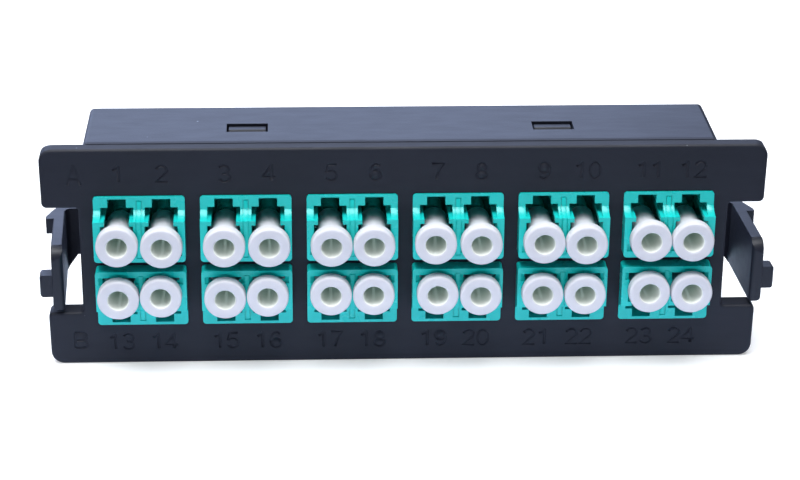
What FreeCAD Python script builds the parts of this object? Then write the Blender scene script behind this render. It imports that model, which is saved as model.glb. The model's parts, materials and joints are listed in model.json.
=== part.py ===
import FreeCAD
import Part
import math
import os

# Fibre cassette: a moulded frame that holds two rows of duplex fibre adapters,
# with a tubular dust plug in each port and a squeeze latch on each side.
# Millimetres.  +X right seen from the front, +Y to the rear, +Z up.
# The origin is on the underside, midway along it, level with the faceplate's back.

# Adapter rows
ADAPTERS_PER_ROW = 6
ADAPTER_PITCH = 15.15
ADAPTER_WIDTH = 12.9
ADAPTER_HEIGHT = 9.3
ADAPTER_LENGTH = 27.6
ADAPTER_CORNER_R = 0.5
ADAPTER_PROUD = 2.35
ROW_GAP = 1.5

# Adapter face, heights counted from the edge that faces the other row
PORT_SPACING = 6.25
PORT_AXIS_HEIGHT = 3.25
PORT_SIZE = 4.65
SHOULDER_GAP = 3.5
SHOULDER_HEIGHT = 0.65
SHOULDER_DEPTH = 6.5
LUG_SLOT_HEIGHT = 1.4
LATCH_NOTCH_WIDTH = 2.62
LATCH_NOTCH_HEIGHT = 1.27
FACE_STEP = 2.1
RAMP_RISE = 1.0
RAMP_SAG = 0.36
RAMP_SAG_SHARE = 0.6
POCKET_WIDTH = 5.7
POCKET_HEIGHT = 1.15
POCKET_DEPTH = 0.5
WEB_MARK_WIDTH = 0.88
WEB_MARK_MARGIN = 0.6
WEB_MARK_LINE = 0.15
WEB_MARK_DEPTH = 0.25
MID_WALL = 1.5
HOLDER_DIAMETER = 2.7
HOLDER_LENGTH = 9.2
LIP_THICKNESS = 2.0
LIP_OUT = 0.9
LIP_IN = 0.5

# Alignment sleeves
SLEEVE_OUTER = 1.62
SLEEVE_BORE = 1.25
SLEEVE_LENGTH = 6.8
SLEEVE_SLIT = 0.3
SLEEVE_CLEARANCE = 0.06
SLEEVE_END_PLAY = 0.2
HOLDER_MOUTH = 1.4

# Dust plugs
PLUG_HEAD_DIAMETER = 5.95
PLUG_HEAD_THICKNESS = 1.75
PLUG_HEAD_ROUND = 0.3
PLUG_STANDOFF = 0.9
PLUG_STEM_DIAMETER = 3.75
PLUG_STEM_LENGTH = 7.4
PLUG_HOLE_DIAMETER = 2.9
PLUG_HOLE_ROUND = 0.15
PLUG_END_WALL = 0.8
PLUG_FIN_LENGTH = 2.0
PLUG_FIN_THICKNESS = 0.7
PLUG_FIN_START = 4.9
PLUG_FIN_CLEARANCE = 0.03

# Faceplate
PLATE_WIDTH = 103.65
PLATE_TAPER = 0.8
PLATE_HEIGHT = 33.5
PLATE_THICKNESS = 2.9
PLATE_CORNER_R = 1.9
PLATE_EDGE_R = 0.45
ROW_CENTRE_HEIGHT = 16.4
WINDOW_CLEARANCE = 0.06
NOTCH_DEPTH = 5.3
NOTCH_HEIGHT = 16.35
NOTCH_OUTER_R = 0.75
NOTCH_INNER_R = 0.5
EAR_CHAMFER = 0.75

# Shroud behind the faceplate
SHROUD_DEPTH = 13.65
SHROUD_SIDE_WALL = 0.95
SHROUD_SHIFT = -0.4
SHROUD_WALL = 1.6
SHROUD_TOP_RISE = 0.08
SHROUD_CORNER_R = 0.8
SIDE_CLEARANCE = 0.08

# Rear retainer and its snaps
RETAINER_THICKNESS = 1.8
RETAINER_FLANGE = 1.4
RETAINER_FLANGE_DEPTH = 8.0
RETAINER_CLEARANCE = 0.12
RETAINER_WINDOW_CLEARANCE = 0.1
SEAT_CLEARANCE = 0.05
SNAP_SPACING = 44.2
SNAP_SLOT_WIDTH = 5.95
SNAP_SLOT_DEPTH = 3.3
SNAP_SLOT_START = 3.6
SNAP_SIDE_CLEARANCE = 0.3
SNAP_CATCH_CLEARANCE = 0.35
SNAP_FLAT = 1.3
SNAP_RECESS = 0.3

# Side latches
ARM_THICKNESS = 1.65
ARM_HEIGHT = 9.65
ARM_BOTTOM = 8.8
ARM_GAP = 4.6
ARM_PROUD = 0.3
ARM_TOP_ROUND = 2.1
ARM_BOTTOM_ROUND = 0.5
ARM_OUTER_ROUND = 1.0
ARM_EDGE_ROUND = 0.2
ARM_LEAD_ROUND = 0.9
BEND_RADIUS = 0.8
NECK_RISE = 2.2
NECK_SLOPE = 1.6
KNUCKLE_RADIUS = 0.9
HINGE_CLEARANCE = 0.1
HINGE_STANDOFF = 1.5
HINGE_SET_IN = 0.9
POST_AHEAD = 1.3
LATCH_CLEARANCE = 0.4
LATCH_SWING_ROOM = 3.2
TAB_OUT = 1.8
TAB_DEPTH = 2.2
TAB_HEIGHT = 3.4
TAB_BOTTOM = 10.9
TAB_SETBACK = 0.3
TAB_ROUND = 0.45
TAB_CORNER_R = 0.5
TOOTH_OUT = 1.1
TOOTH_FLAT = 0.8
TOOTH_RAMP = 2.8
TOOTH_HEIGHT = 2.4
TOOTH_SETBACK = 11.5
LEFT_SET_DEG = 3.2
RIGHT_SET_DEG = -2.4

# Values that follow from the ones above
PLATE_FRONT = -PLATE_THICKNESS
ADAPTER_FRONT = PLATE_FRONT - ADAPTER_PROUD
ROW_OFFSET = ROW_GAP / 2
ROW_HALF_WIDTH = (ADAPTERS_PER_ROW - 1) / 2 * ADAPTER_PITCH + ADAPTER_WIDTH / 2
SHROUD_INNER_HALF = ROW_HALF_WIDTH + SIDE_CLEARANCE
SHROUD_HALF = SHROUD_INNER_HALF + SHROUD_SIDE_WALL
SHROUD_TOP = PLATE_HEIGHT + SHROUD_TOP_RISE
LIP_START = SEAT_CLEARANCE
RETAINER_START = LIP_START + LIP_THICKNESS + SEAT_CLEARANCE
SHOULDER_START = PORT_AXIS_HEIGHT + PORT_SIZE / 2
LUG_SLOT_START = SHOULDER_START + SHOULDER_HEIGHT
LATCH_NOTCH_START = LUG_SLOT_START + LUG_SLOT_HEIGHT
PORT_DEPTH = (ADAPTER_LENGTH - MID_WALL) / 2
HINGE_X = SHROUD_HALF + HINGE_STANDOFF
HINGE_Y = SHROUD_DEPTH - HINGE_SET_IN

# How far a cut runs past the face that it opens
OVERRUN = 1.0

Y_AXIS = FreeCAD.Vector(0, 1, 0)
Z_AXIS = FreeCAD.Vector(0, 0, 1)
HERE = FreeCAD.Vector(0, 0, 0)


def box(x0, x1, y0, y1, z0, z1):
    """A block between two corners."""
    corner = FreeCAD.Vector(x0, y0, z0)
    return Part.makeBox(x1 - x0, y1 - y0, z1 - z0, corner)


def rounded_wire(corners, to_point):
    """A closed outline of (a, b, radius) corners; to_point turns (a, b) into a vector."""
    points = [to_point(a, b) for a, b, radius in corners]
    count = len(corners)
    starts = []
    mids = []
    ends = []
    for i in range(count):
        corner = points[i]
        radius = corners[i][2]
        back = (points[i - 1] - corner).normalize()
        ahead = (points[(i + 1) % count] - corner).normalize()
        half = back.getAngle(ahead) / 2
        reach = radius / math.tan(half)
        inward = (back + ahead).normalize()
        starts.append(corner + back * reach)
        ends.append(corner + ahead * reach)
        mids.append(corner + inward * (radius / math.sin(half) - radius))
    edges = []
    for i in range(count):
        if corners[i][2] > 0:
            edges.append(Part.Arc(starts[i], mids[i], ends[i]).toShape())
        following = starts[(i + 1) % count]
        if ends[i].distanceToPoint(following) > 1e-6:
            edges.append(Part.LineSegment(ends[i], following).toShape())
    return Part.Wire(edges)


def prism_along_y(corners, y0, y1):
    """An (x, z, radius) outline carried from y0 to y1."""
    wire = rounded_wire(corners, lambda x, z: FreeCAD.Vector(x, y0, z))
    return Part.Face(wire).extrude(FreeCAD.Vector(0, y1 - y0, 0))


def prism_along_x(corners, x0, x1):
    """A (y, z, radius) outline carried from x0 to x1."""
    wire = rounded_wire(corners, lambda y, z: FreeCAD.Vector(x0, y, z))
    return Part.Face(wire).extrude(FreeCAD.Vector(x1 - x0, 0, 0))


def prism_along_z(corners, z0, z1):
    """An (x, y, radius) outline carried from z0 to z1."""
    wire = rounded_wire(corners, lambda x, y: FreeCAD.Vector(x, y, z0))
    return Part.Face(wire).extrude(FreeCAD.Vector(0, 0, z1 - z0))


def rectangle(x0, x1, z0, z1, radius):
    """The corners of a rectangle, all with one radius."""
    return [(x0, z0, radius), (x1, z0, radius), (x1, z1, radius), (x0, z1, radius)]


def one_solid(shape):
    """The single solid of a result, with its split faces joined."""
    return shape.removeSplitter().Solids[0]


def adapter_columns():
    """The x of each adapter column, from left to right."""
    first = -(ADAPTERS_PER_ROW - 1) / 2 * ADAPTER_PITCH
    return [first + i * ADAPTER_PITCH for i in range(ADAPTERS_PER_ROW)]


# ---------------------------------------------------------------- front frame

def side_at(height):
    """Half the faceplate's width at a height; it is narrower by PLATE_TAPER at the bottom."""
    taper = PLATE_TAPER * (1 - height / PLATE_HEIGHT)
    return (PLATE_WIDTH - taper) / 2


def plate_outline():
    """The faceplate's outline, a little narrower at the bottom, with a notch in each side."""
    inner = PLATE_WIDTH / 2 - NOTCH_DEPTH
    low = ROW_CENTRE_HEIGHT - NOTCH_HEIGHT / 2
    high = ROW_CENTRE_HEIGHT + NOTCH_HEIGHT / 2
    right = [
        (side_at(0), 0, PLATE_CORNER_R),
        (side_at(low), low, NOTCH_OUTER_R),
        (inner, low, NOTCH_INNER_R),
        (inner, high, NOTCH_INNER_R),
        (side_at(high), high, NOTCH_OUTER_R),
        (side_at(PLATE_HEIGHT), PLATE_HEIGHT, PLATE_CORNER_R),
    ]
    left = [(-x, z, radius) for x, z, radius in reversed(right)]
    return right + left


def latch_room(side):
    """The room that a latch moves in, which the faceplate keeps clear of however wide it is."""
    arm = SHROUD_HALF + ARM_GAP
    outer = arm + ARM_THICKNESS + TAB_OUT + LATCH_CLEARANCE
    low = ARM_BOTTOM - LATCH_CLEARANCE
    high = ARM_BOTTOM + ARM_HEIGHT + LATCH_CLEARANCE
    room = box(arm - LATCH_SWING_ROOM, outer, PLATE_FRONT - OVERRUN, OVERRUN, low, high)
    return on_side(room, side)


def faceplate():
    """The faceplate, rounded at the front and chamfered along the back of its long edges."""
    plate = prism_along_y(plate_outline(), PLATE_FRONT, 0)
    front_edges = [edge for edge in plate.Edges if edge.BoundBox.YMax < PLATE_FRONT + 1e-6]
    plate = plate.makeFillet(min(PLATE_EDGE_R, NOTCH_INNER_R * 0.9), front_edges)
    plate = plate.cut([latch_room(side) for side in (-1, 1)])
    half = PLATE_WIDTH / 2 + OVERRUN
    low = [(-EAR_CHAMFER, -OVERRUN, 0), (-EAR_CHAMFER, 0, 0), (0, EAR_CHAMFER, 0),
           (OVERRUN, EAR_CHAMFER, 0), (OVERRUN, -OVERRUN, 0)]
    high = [(y, PLATE_HEIGHT - z, radius) for y, z, radius in low]
    return plate.cut([prism_along_x(low, -half, half), prism_along_x(high, -half, half)])


def shroud():
    """The shallow case behind the faceplate, open at the rear."""
    outer = prism_along_y(
        rectangle(-SHROUD_HALF, SHROUD_HALF, 0, SHROUD_TOP, SHROUD_CORNER_R),
        -EAR_CHAMFER, SHROUD_DEPTH
    )
    outer.translate(FreeCAD.Vector(SHROUD_SHIFT, 0, 0))
    hollow = box(
        -SHROUD_INNER_HALF, SHROUD_INNER_HALF, 0, SHROUD_DEPTH + OVERRUN,
        SHROUD_WALL, SHROUD_TOP - SHROUD_WALL
    )
    return outer, hollow


def adapter_windows():
    """One through cut for each adapter in the faceplate."""
    half_width = ADAPTER_WIDTH / 2 + WINDOW_CLEARANCE
    low = ROW_OFFSET - WINDOW_CLEARANCE
    high = ROW_OFFSET + ADAPTER_HEIGHT + WINDOW_CLEARANCE
    radius = ADAPTER_CORNER_R
    cuts = []
    for x in adapter_columns():
        for bottom in (ROW_CENTRE_HEIGHT + low, ROW_CENTRE_HEIGHT - high):
            corners = rectangle(x - half_width, x + half_width, bottom, bottom + high - low, radius)
            cuts.append(prism_along_y(corners, PLATE_FRONT - OVERRUN, OVERRUN))
    return cuts


def snap_columns():
    """The middle of each snap across the shroud."""
    return [SHROUD_SHIFT - SNAP_SPACING / 2, SHROUD_SHIFT + SNAP_SPACING / 2]


def snap_slots():
    """The slots that the retainer's snaps catch in, above and below."""
    cuts = []
    for x in snap_columns():
        for z0 in (-OVERRUN, SHROUD_TOP - SHROUD_WALL - OVERRUN):
            cuts.append(box(
                x - SNAP_SLOT_WIDTH / 2, x + SNAP_SLOT_WIDTH / 2,
                SNAP_SLOT_START, SNAP_SLOT_START + SNAP_SLOT_DEPTH,
                z0, z0 + SHROUD_WALL + 2 * OVERRUN
            ))
    return cuts


def on_side(shape, side):
    """A right-hand shape on its side of the cassette, mirrored when side is -1."""
    if side < 0:
        shape = shape.mirror(HERE, FreeCAD.Vector(1, 0, 0))
    return shape


def hinge_post(side):
    """The post on a side wall that a latch's knuckle turns against."""
    low = ARM_BOTTOM + NECK_RISE
    high = ARM_BOTTOM + ARM_HEIGHT
    reach = HINGE_X - KNUCKLE_RADIUS / 3
    post = box(SHROUD_HALF - SHROUD_SIDE_WALL / 2, reach, HINGE_Y - POST_AHEAD, SHROUD_DEPTH, low, high)
    groove = Part.makeCylinder(
        KNUCKLE_RADIUS + HINGE_CLEARANCE, high - low + 2 * OVERRUN,
        FreeCAD.Vector(HINGE_X, HINGE_Y, low - OVERRUN), Z_AXIS
    )
    post = post.cut(groove)
    return on_side(post, side)


def front_frame():
    """Faceplate, shroud and hinge posts, moulded in one."""
    outer, hollow = shroud()
    frame = faceplate().fuse([outer, hinge_post(1), hinge_post(-1)])
    frame = frame.cut([hollow] + adapter_windows() + snap_slots())
    return one_solid(frame)


# ---------------------------------------------------------------- rear retainer

def snap(x, top):
    """One snap: a ramp to slide in on, a flat, and a square catch at the rear."""
    low = SHROUD_TOP - SHROUD_WALL - RETAINER_CLEARANCE - RETAINER_FLANGE / 2
    high = SHROUD_TOP - SNAP_RECESS
    if not top:
        low = SHROUD_WALL + RETAINER_CLEARANCE + RETAINER_FLANGE / 2
        high = SNAP_RECESS
    catch = SNAP_SLOT_START + SNAP_SLOT_DEPTH - SNAP_CATCH_CLEARANCE
    start = SNAP_SLOT_START + SNAP_CATCH_CLEARANCE / 2
    half = SNAP_SLOT_WIDTH / 2 - SNAP_SIDE_CLEARANCE
    corners = [(start, low, 0), (catch, low, 0), (catch, high, 0), (catch - SNAP_FLAT, high, 0)]
    return prism_along_x(corners, x - half, x + half)


def rear_retainer():
    """The plate that closes on the adapters' lips from behind."""
    half = SHROUD_INNER_HALF - RETAINER_CLEARANCE
    low = SHROUD_WALL + RETAINER_CLEARANCE
    high = SHROUD_TOP - SHROUD_WALL - RETAINER_CLEARANCE
    end = RETAINER_START + RETAINER_THICKNESS
    flange_end = RETAINER_START + RETAINER_FLANGE_DEPTH
    plate = box(-half, half, RETAINER_START, end, low, high)
    top = box(-half, half, RETAINER_START, flange_end, high - RETAINER_FLANGE, high)
    bottom = box(-half, half, RETAINER_START, flange_end, low, low + RETAINER_FLANGE)
    teeth = []
    for x in snap_columns():
        teeth.append(snap(x, True))
        teeth.append(snap(x, False))
    half_width = ADAPTER_WIDTH / 2 + RETAINER_WINDOW_CLEARANCE
    near = ROW_OFFSET - RETAINER_WINDOW_CLEARANCE
    far = ROW_OFFSET + ADAPTER_HEIGHT + RETAINER_WINDOW_CLEARANCE
    cuts = []
    for x in adapter_columns():
        for z0, z1 in ((near, far), (-far, -near)):
            cuts.append(box(
                x - half_width, x + half_width, RETAINER_START - OVERRUN, end + OVERRUN,
                ROW_CENTRE_HEIGHT + z0, ROW_CENTRE_HEIGHT + z1
            ))
    return one_solid(plate.fuse([top, bottom] + teeth).cut(cuts))


# ---------------------------------------------------------------- adapters

def face_profile(shift, half_width):
    """The adapter's side outline up to its middle, moved back by shift."""
    front = shift
    middle = ADAPTER_LENGTH / 2
    step = front + FACE_STEP
    ramp_start = LUG_SLOT_START
    ramp_end = ramp_start + RAMP_RISE
    x = -half_width
    low_front = FreeCAD.Vector(x, front, 0)
    ramp_foot = FreeCAD.Vector(x, front, ramp_start)
    ramp_middle = FreeCAD.Vector(x, front + FACE_STEP * RAMP_SAG_SHARE, ramp_start + RAMP_SAG)
    ramp_head = FreeCAD.Vector(x, step, ramp_end)
    high_step = FreeCAD.Vector(x, step, ADAPTER_HEIGHT)
    high_middle = FreeCAD.Vector(x, middle, ADAPTER_HEIGHT)
    low_middle = FreeCAD.Vector(x, middle, 0)
    wire = Part.Wire([
        Part.LineSegment(low_front, ramp_foot).toShape(),
        Part.Arc(ramp_foot, ramp_middle, ramp_head).toShape(),
        Part.LineSegment(ramp_head, high_step).toShape(),
        Part.LineSegment(high_step, high_middle).toShape(),
        Part.LineSegment(high_middle, low_middle).toShape(),
        Part.LineSegment(low_middle, low_front).toShape(),
    ])
    return Part.Face(wire).extrude(FreeCAD.Vector(2 * half_width, 0, 0))


def port_cuts(x):
    """The cuts for one port, from the adapter's front towards its middle."""
    bottom = PORT_AXIS_HEIGHT - PORT_SIZE / 2
    half = PORT_SIZE / 2
    pocket = POCKET_WIDTH / 2
    narrow = SHOULDER_GAP / 2
    notch = LATCH_NOTCH_WIDTH / 2
    notch_end = LATCH_NOTCH_START + LATCH_NOTCH_HEIGHT
    front = -OVERRUN
    return [
        box(x - half, x + half, front, PORT_DEPTH, bottom, SHOULDER_START),
        box(x - pocket, x + pocket, front, POCKET_DEPTH, bottom, bottom + POCKET_HEIGHT),
        box(x - narrow, x + narrow, front, PORT_DEPTH, SHOULDER_START, LUG_SLOT_START),
        box(x - half, x + half, SHOULDER_DEPTH, PORT_DEPTH, SHOULDER_START, LUG_SLOT_START),
        box(x - half, x + half, front, PORT_DEPTH, LUG_SLOT_START, LATCH_NOTCH_START),
        box(x - notch, x + notch, front, PORT_DEPTH, LATCH_NOTCH_START, notch_end),
    ]


def web_mark():
    """The fine rectangular groove down the web between the two ports."""
    half = WEB_MARK_WIDTH / 2
    low = WEB_MARK_MARGIN
    high = ADAPTER_HEIGHT - WEB_MARK_MARGIN
    line = WEB_MARK_LINE
    depth = FACE_STEP + OVERRUN
    outside = box(-half, half, -OVERRUN, depth, low, high)
    inside = box(line - half, half - line, -2 * OVERRUN, depth + OVERRUN, low + line, high - line)
    return outside.cut([inside, face_profile(WEB_MARK_DEPTH, ADAPTER_WIDTH)])


def sleeve_holder(x):
    """Half of one port's sleeve holder, with the bore that the sleeve lies in."""
    middle = ADAPTER_LENGTH / 2
    start = FreeCAD.Vector(x, middle - HOLDER_LENGTH / 2, PORT_AXIS_HEIGHT)
    bore_start = FreeCAD.Vector(x, middle - SLEEVE_LENGTH / 2 - SLEEVE_END_PLAY, PORT_AXIS_HEIGHT)
    mouth_start = FreeCAD.Vector(x, 0, PORT_AXIS_HEIGHT)
    outside = Part.makeCylinder(HOLDER_DIAMETER / 2, HOLDER_LENGTH / 2, start, Y_AXIS)
    bore = Part.makeCylinder(
        SLEEVE_OUTER / 2 + SLEEVE_CLEARANCE, SLEEVE_LENGTH / 2 + SLEEVE_END_PLAY, bore_start, Y_AXIS
    )
    mouth = Part.makeCylinder(HOLDER_MOUTH / 2, middle, mouth_start, Y_AXIS)
    return outside, [bore, mouth]


def adapter():
    """One duplex adapter, front face at y = 0, its inner edge at z = 0."""
    half_width = ADAPTER_WIDTH / 2
    corners = rectangle(-half_width, half_width, 0, ADAPTER_HEIGHT, ADAPTER_CORNER_R)
    half_body = prism_along_y(corners, 0, ADAPTER_LENGTH / 2).common(face_profile(0, ADAPTER_WIDTH))
    cuts = [web_mark()]
    holders = []
    bores = []
    for x in (-PORT_SPACING / 2, PORT_SPACING / 2):
        cuts += port_cuts(x)
        outside, bore = sleeve_holder(x)
        holders.append(outside)
        bores += bore
    half_body = half_body.cut(cuts).fuse(holders).cut(bores)
    middle = FreeCAD.Vector(0, ADAPTER_LENGTH / 2, 0)
    other_half = half_body.mirror(middle, Y_AXIS)
    lip_front = LIP_START - ADAPTER_FRONT
    lip_rear = lip_front + LIP_THICKNESS
    outer_lip = box(-half_width, half_width, lip_front, lip_rear,
                    ADAPTER_HEIGHT - ADAPTER_CORNER_R, ADAPTER_HEIGHT + LIP_OUT)
    inner_lip = box(-half_width, half_width, lip_front, lip_rear, -LIP_IN, ADAPTER_CORNER_R)
    clear = []
    for x in (-PORT_SPACING / 2, PORT_SPACING / 2):
        clear += [port.common(box(x - PORT_SIZE, x + PORT_SIZE, 0, PORT_DEPTH, 0, ADAPTER_HEIGHT))
                  for port in port_cuts(x)]
    lips = outer_lip.fuse(inner_lip).cut(clear)
    return one_solid(half_body.fuse([other_half, lips]))


def sleeve_pair():
    """The two split ceramic sleeves of one adapter, in the adapter's own place."""
    start = ADAPTER_LENGTH / 2 - SLEEVE_LENGTH / 2
    sleeves = []
    for x in (-PORT_SPACING / 2, PORT_SPACING / 2):
        base = FreeCAD.Vector(x, start, PORT_AXIS_HEIGHT)
        tube = Part.makeCylinder(SLEEVE_OUTER / 2, SLEEVE_LENGTH, base, Y_AXIS)
        hole = Part.makeCylinder(SLEEVE_BORE / 2, SLEEVE_LENGTH, base, Y_AXIS)
        slit = box(x - SLEEVE_SLIT / 2, x + SLEEVE_SLIT / 2, start, start + SLEEVE_LENGTH,
                   PORT_AXIS_HEIGHT, PORT_AXIS_HEIGHT + SLEEVE_OUTER)
        sleeves.append(tube.cut([hole, slit]))
    return Part.makeCompound(sleeves)


def seat(shape, x, upper):
    """An adapter's piece moved to its column; the lower row is turned upside down."""
    placed = shape.copy()
    if not upper:
        placed.rotate(HERE, Y_AXIS, 180)
    offset = ROW_OFFSET if upper else -ROW_OFFSET
    placed.translate(FreeCAD.Vector(x, ADAPTER_FRONT, ROW_CENTRE_HEIGHT + offset))
    return placed


# ---------------------------------------------------------------- dust plugs

def dust_plug():
    """One hollow plug with its head towards -Y, a rib on each side, the adapter's face at y = 0."""
    head_front = -PLUG_STANDOFF - PLUG_HEAD_THICKNESS
    head = Part.makeCylinder(
        PLUG_HEAD_DIAMETER / 2, PLUG_HEAD_THICKNESS, FreeCAD.Vector(0, head_front, 0), Y_AXIS
    )
    head = head.makeFillet(PLUG_HEAD_ROUND, [edge for edge in head.Edges if len(edge.Vertexes) == 1])
    stem = Part.makeCylinder(
        PLUG_STEM_DIAMETER / 2, PLUG_STEM_LENGTH + PLUG_STANDOFF + PLUG_HEAD_THICKNESS / 2,
        FreeCAD.Vector(0, -PLUG_STANDOFF - PLUG_HEAD_THICKNESS / 2, 0), Y_AXIS
    )
    reach = PORT_SIZE / 2 - PLUG_FIN_CLEARANCE
    fin_end = PLUG_FIN_START + PLUG_FIN_LENGTH
    thin = PLUG_FIN_THICKNESS / 2
    fins = box(-reach, reach, PLUG_FIN_START, fin_end, -thin, thin)
    hole_length = PLUG_STEM_LENGTH - PLUG_END_WALL - head_front
    hole = Part.makeCylinder(
        PLUG_HOLE_DIAMETER / 2, hole_length, FreeCAD.Vector(0, head_front, 0), Y_AXIS
    )
    mouth = Part.makeCone(
        PLUG_HOLE_DIAMETER / 2 + PLUG_HOLE_ROUND, PLUG_HOLE_DIAMETER / 2, PLUG_HOLE_ROUND,
        FreeCAD.Vector(0, head_front, 0), Y_AXIS
    )
    return one_solid(head.fuse([stem, fins]).cut([hole, mouth]))


def seat_plug(plug, x, upper):
    """A plug moved to its port."""
    placed = plug.copy()
    offset = ROW_OFFSET + PORT_AXIS_HEIGHT
    if not upper:
        offset = -offset
    placed.translate(FreeCAD.Vector(x, ADAPTER_FRONT, ROW_CENTRE_HEIGHT + offset))
    return placed


# ---------------------------------------------------------------- side latches

def arm_side_view():
    """The arm's outline seen from the side, rounded at the front."""
    front = PLATE_FRONT - ARM_PROUD
    rear = HINGE_Y + BEND_RADIUS + ARM_THICKNESS
    top = ARM_BOTTOM + ARM_HEIGHT
    return prism_along_x([
        (front, ARM_BOTTOM, ARM_BOTTOM_ROUND),
        (rear, ARM_BOTTOM, 0),
        (rear, top, 0),
        (front, top, ARM_TOP_ROUND),
    ], SHROUD_HALF, PLATE_WIDTH)


def arm_front_view():
    """The arm's outline seen from the front; its lower edge slopes up towards the hinge."""
    inner = SHROUD_HALF + ARM_GAP
    neck_bottom = ARM_BOTTOM + NECK_RISE
    top = ARM_BOTTOM + ARM_HEIGHT
    return prism_along_y([
        (inner, ARM_BOTTOM, 0),
        (PLATE_WIDTH, ARM_BOTTOM, 0),
        (PLATE_WIDTH, top, 0),
        (SHROUD_HALF, top, 0),
        (SHROUD_HALF, neck_bottom, 0),
        (inner - NECK_SLOPE, neck_bottom, 0),
    ], PLATE_FRONT - ARM_PROUD, HINGE_Y + BEND_RADIUS + ARM_THICKNESS)


def arm_plan(low, high):
    """The right arm seen from above: straight, then bent in to its hinge knuckle."""
    inner = SHROUD_HALF + ARM_GAP
    outer = inner + ARM_THICKNESS
    front = PLATE_FRONT - ARM_PROUD
    neck_front = HINGE_Y - ARM_THICKNESS / 2
    neck_rear = HINGE_Y + ARM_THICKNESS / 2
    bend_start = neck_front - BEND_RADIUS
    straight = prism_along_y([
        (inner, low, ARM_EDGE_ROUND),
        (outer, low, ARM_OUTER_ROUND),
        (outer, high, ARM_EDGE_ROUND),
        (inner, high, ARM_EDGE_ROUND),
    ], front, bend_start)
    straight = straight.common(prism_along_z([
        (inner, front, ARM_LEAD_ROUND),
        (outer, front, ARM_EDGE_ROUND),
        (outer, bend_start, 0),
        (inner, bend_start, 0),
    ], low, high))
    centre = FreeCAD.Vector(inner - BEND_RADIUS, bend_start, low)
    ring = Part.makeCylinder(BEND_RADIUS + ARM_THICKNESS, high - low, centre, Z_AXIS, 90)
    ring = ring.cut(Part.makeCylinder(BEND_RADIUS, high - low, centre, Z_AXIS))
    neck = box(HINGE_X, inner - BEND_RADIUS, neck_front, neck_rear, low, high)
    knuckle = Part.makeCylinder(
        KNUCKLE_RADIUS, high - low, FreeCAD.Vector(HINGE_X, HINGE_Y, low), Z_AXIS
    )
    return straight.fuse([ring, neck, knuckle])


def finger_tab():
    """The tab on the arm's outside that a finger pushes."""
    outer = SHROUD_HALF + ARM_GAP + ARM_THICKNESS
    front = PLATE_FRONT - ARM_PROUD + TAB_SETBACK
    corners = [
        (outer - ARM_THICKNESS / 2, front, 0),
        (outer + TAB_OUT, front, TAB_ROUND),
        (outer + TAB_OUT, front + TAB_DEPTH, TAB_ROUND),
        (outer - ARM_THICKNESS / 2, front + TAB_DEPTH, 0),
    ]
    tab = prism_along_z(corners, TAB_BOTTOM, TAB_BOTTOM + TAB_HEIGHT)
    return tab.common(prism_along_y([
        (outer - ARM_THICKNESS, TAB_BOTTOM, 0),
        (outer + TAB_OUT, TAB_BOTTOM, TAB_CORNER_R),
        (outer + TAB_OUT, TAB_BOTTOM + TAB_HEIGHT, TAB_CORNER_R),
        (outer - ARM_THICKNESS, TAB_BOTTOM + TAB_HEIGHT, 0),
    ], front, front + TAB_DEPTH))


def latch_tooth():
    """The tooth on the arm's outside, square at the front and ramped to the rear."""
    outer = SHROUD_HALF + ARM_GAP + ARM_THICKNESS
    front = PLATE_FRONT - ARM_PROUD + TOOTH_SETBACK
    rear = front + TOOTH_FLAT + TOOTH_RAMP
    top = ARM_BOTTOM + ARM_HEIGHT
    corners = [
        (outer - ARM_THICKNESS / 2, front, 0),
        (outer + TOOTH_OUT, front, 0),
        (outer + TOOTH_OUT, front + TOOTH_FLAT, 0),
        (outer, rear, 0),
        (outer - ARM_THICKNESS / 2, rear, 0),
    ]
    return prism_along_z(corners, top - TOOTH_HEIGHT, top)


def latch(side, set_deg):
    """One latch arm at rest; set_deg turns it inward about its hinge."""
    top = ARM_BOTTOM + ARM_HEIGHT
    arm = arm_plan(ARM_BOTTOM, top).common(arm_side_view()).common(arm_front_view())
    arm = one_solid(arm.fuse([finger_tab(), latch_tooth()]))
    arm.rotate(FreeCAD.Vector(HINGE_X, HINGE_Y, 0), Z_AXIS, -set_deg)
    return on_side(arm, side)


# ---------------------------------------------------------------- all pieces

def all_pieces():
    """Every node's name and shape."""
    pieces = {
        "front_frame": front_frame(),
        "rear_retainer": rear_retainer(),
        "latch_left": latch(-1, LEFT_SET_DEG),
        "latch_right": latch(1, RIGHT_SET_DEG),
    }
    adapter_shape = adapter()
    sleeves = sleeve_pair()
    plug = dust_plug()
    number = 0
    port = 0
    for upper in (True, False):
        for x in adapter_columns():
            number += 1
            pieces["adapter_%02d" % number] = seat(adapter_shape, x, upper)
            pieces["sleeve_pair_%02d" % number] = seat(sleeves, x, upper)
            for port_x in (x - PORT_SPACING / 2, x + PORT_SPACING / 2):
                port += 1
                pieces["dust_plug_%02d" % port] = seat_plug(plug, port_x, upper)
    return pieces


os.makedirs("parts", exist_ok=True)
for name, shape in all_pieces().items():
    shape.exportStep("parts/%s.step" % name)
    print(name, len(shape.Solids), round(shape.Volume, 2), shape.isValid())
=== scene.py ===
"""Finishes, engraved numerals, dust plugs and the studio for a fibre cassette.

Metres.  +X right seen from the front, +Y to the rear, +Z up.  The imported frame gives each
piece its place; the classes below soften its edges, engrave the faceplate, model the dust
plugs afresh and dress every piece.
"""
import json
import logging
import math
from dataclasses import dataclass
from enum import Enum

import bpy
from mathutils import Matrix, Vector

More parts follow.
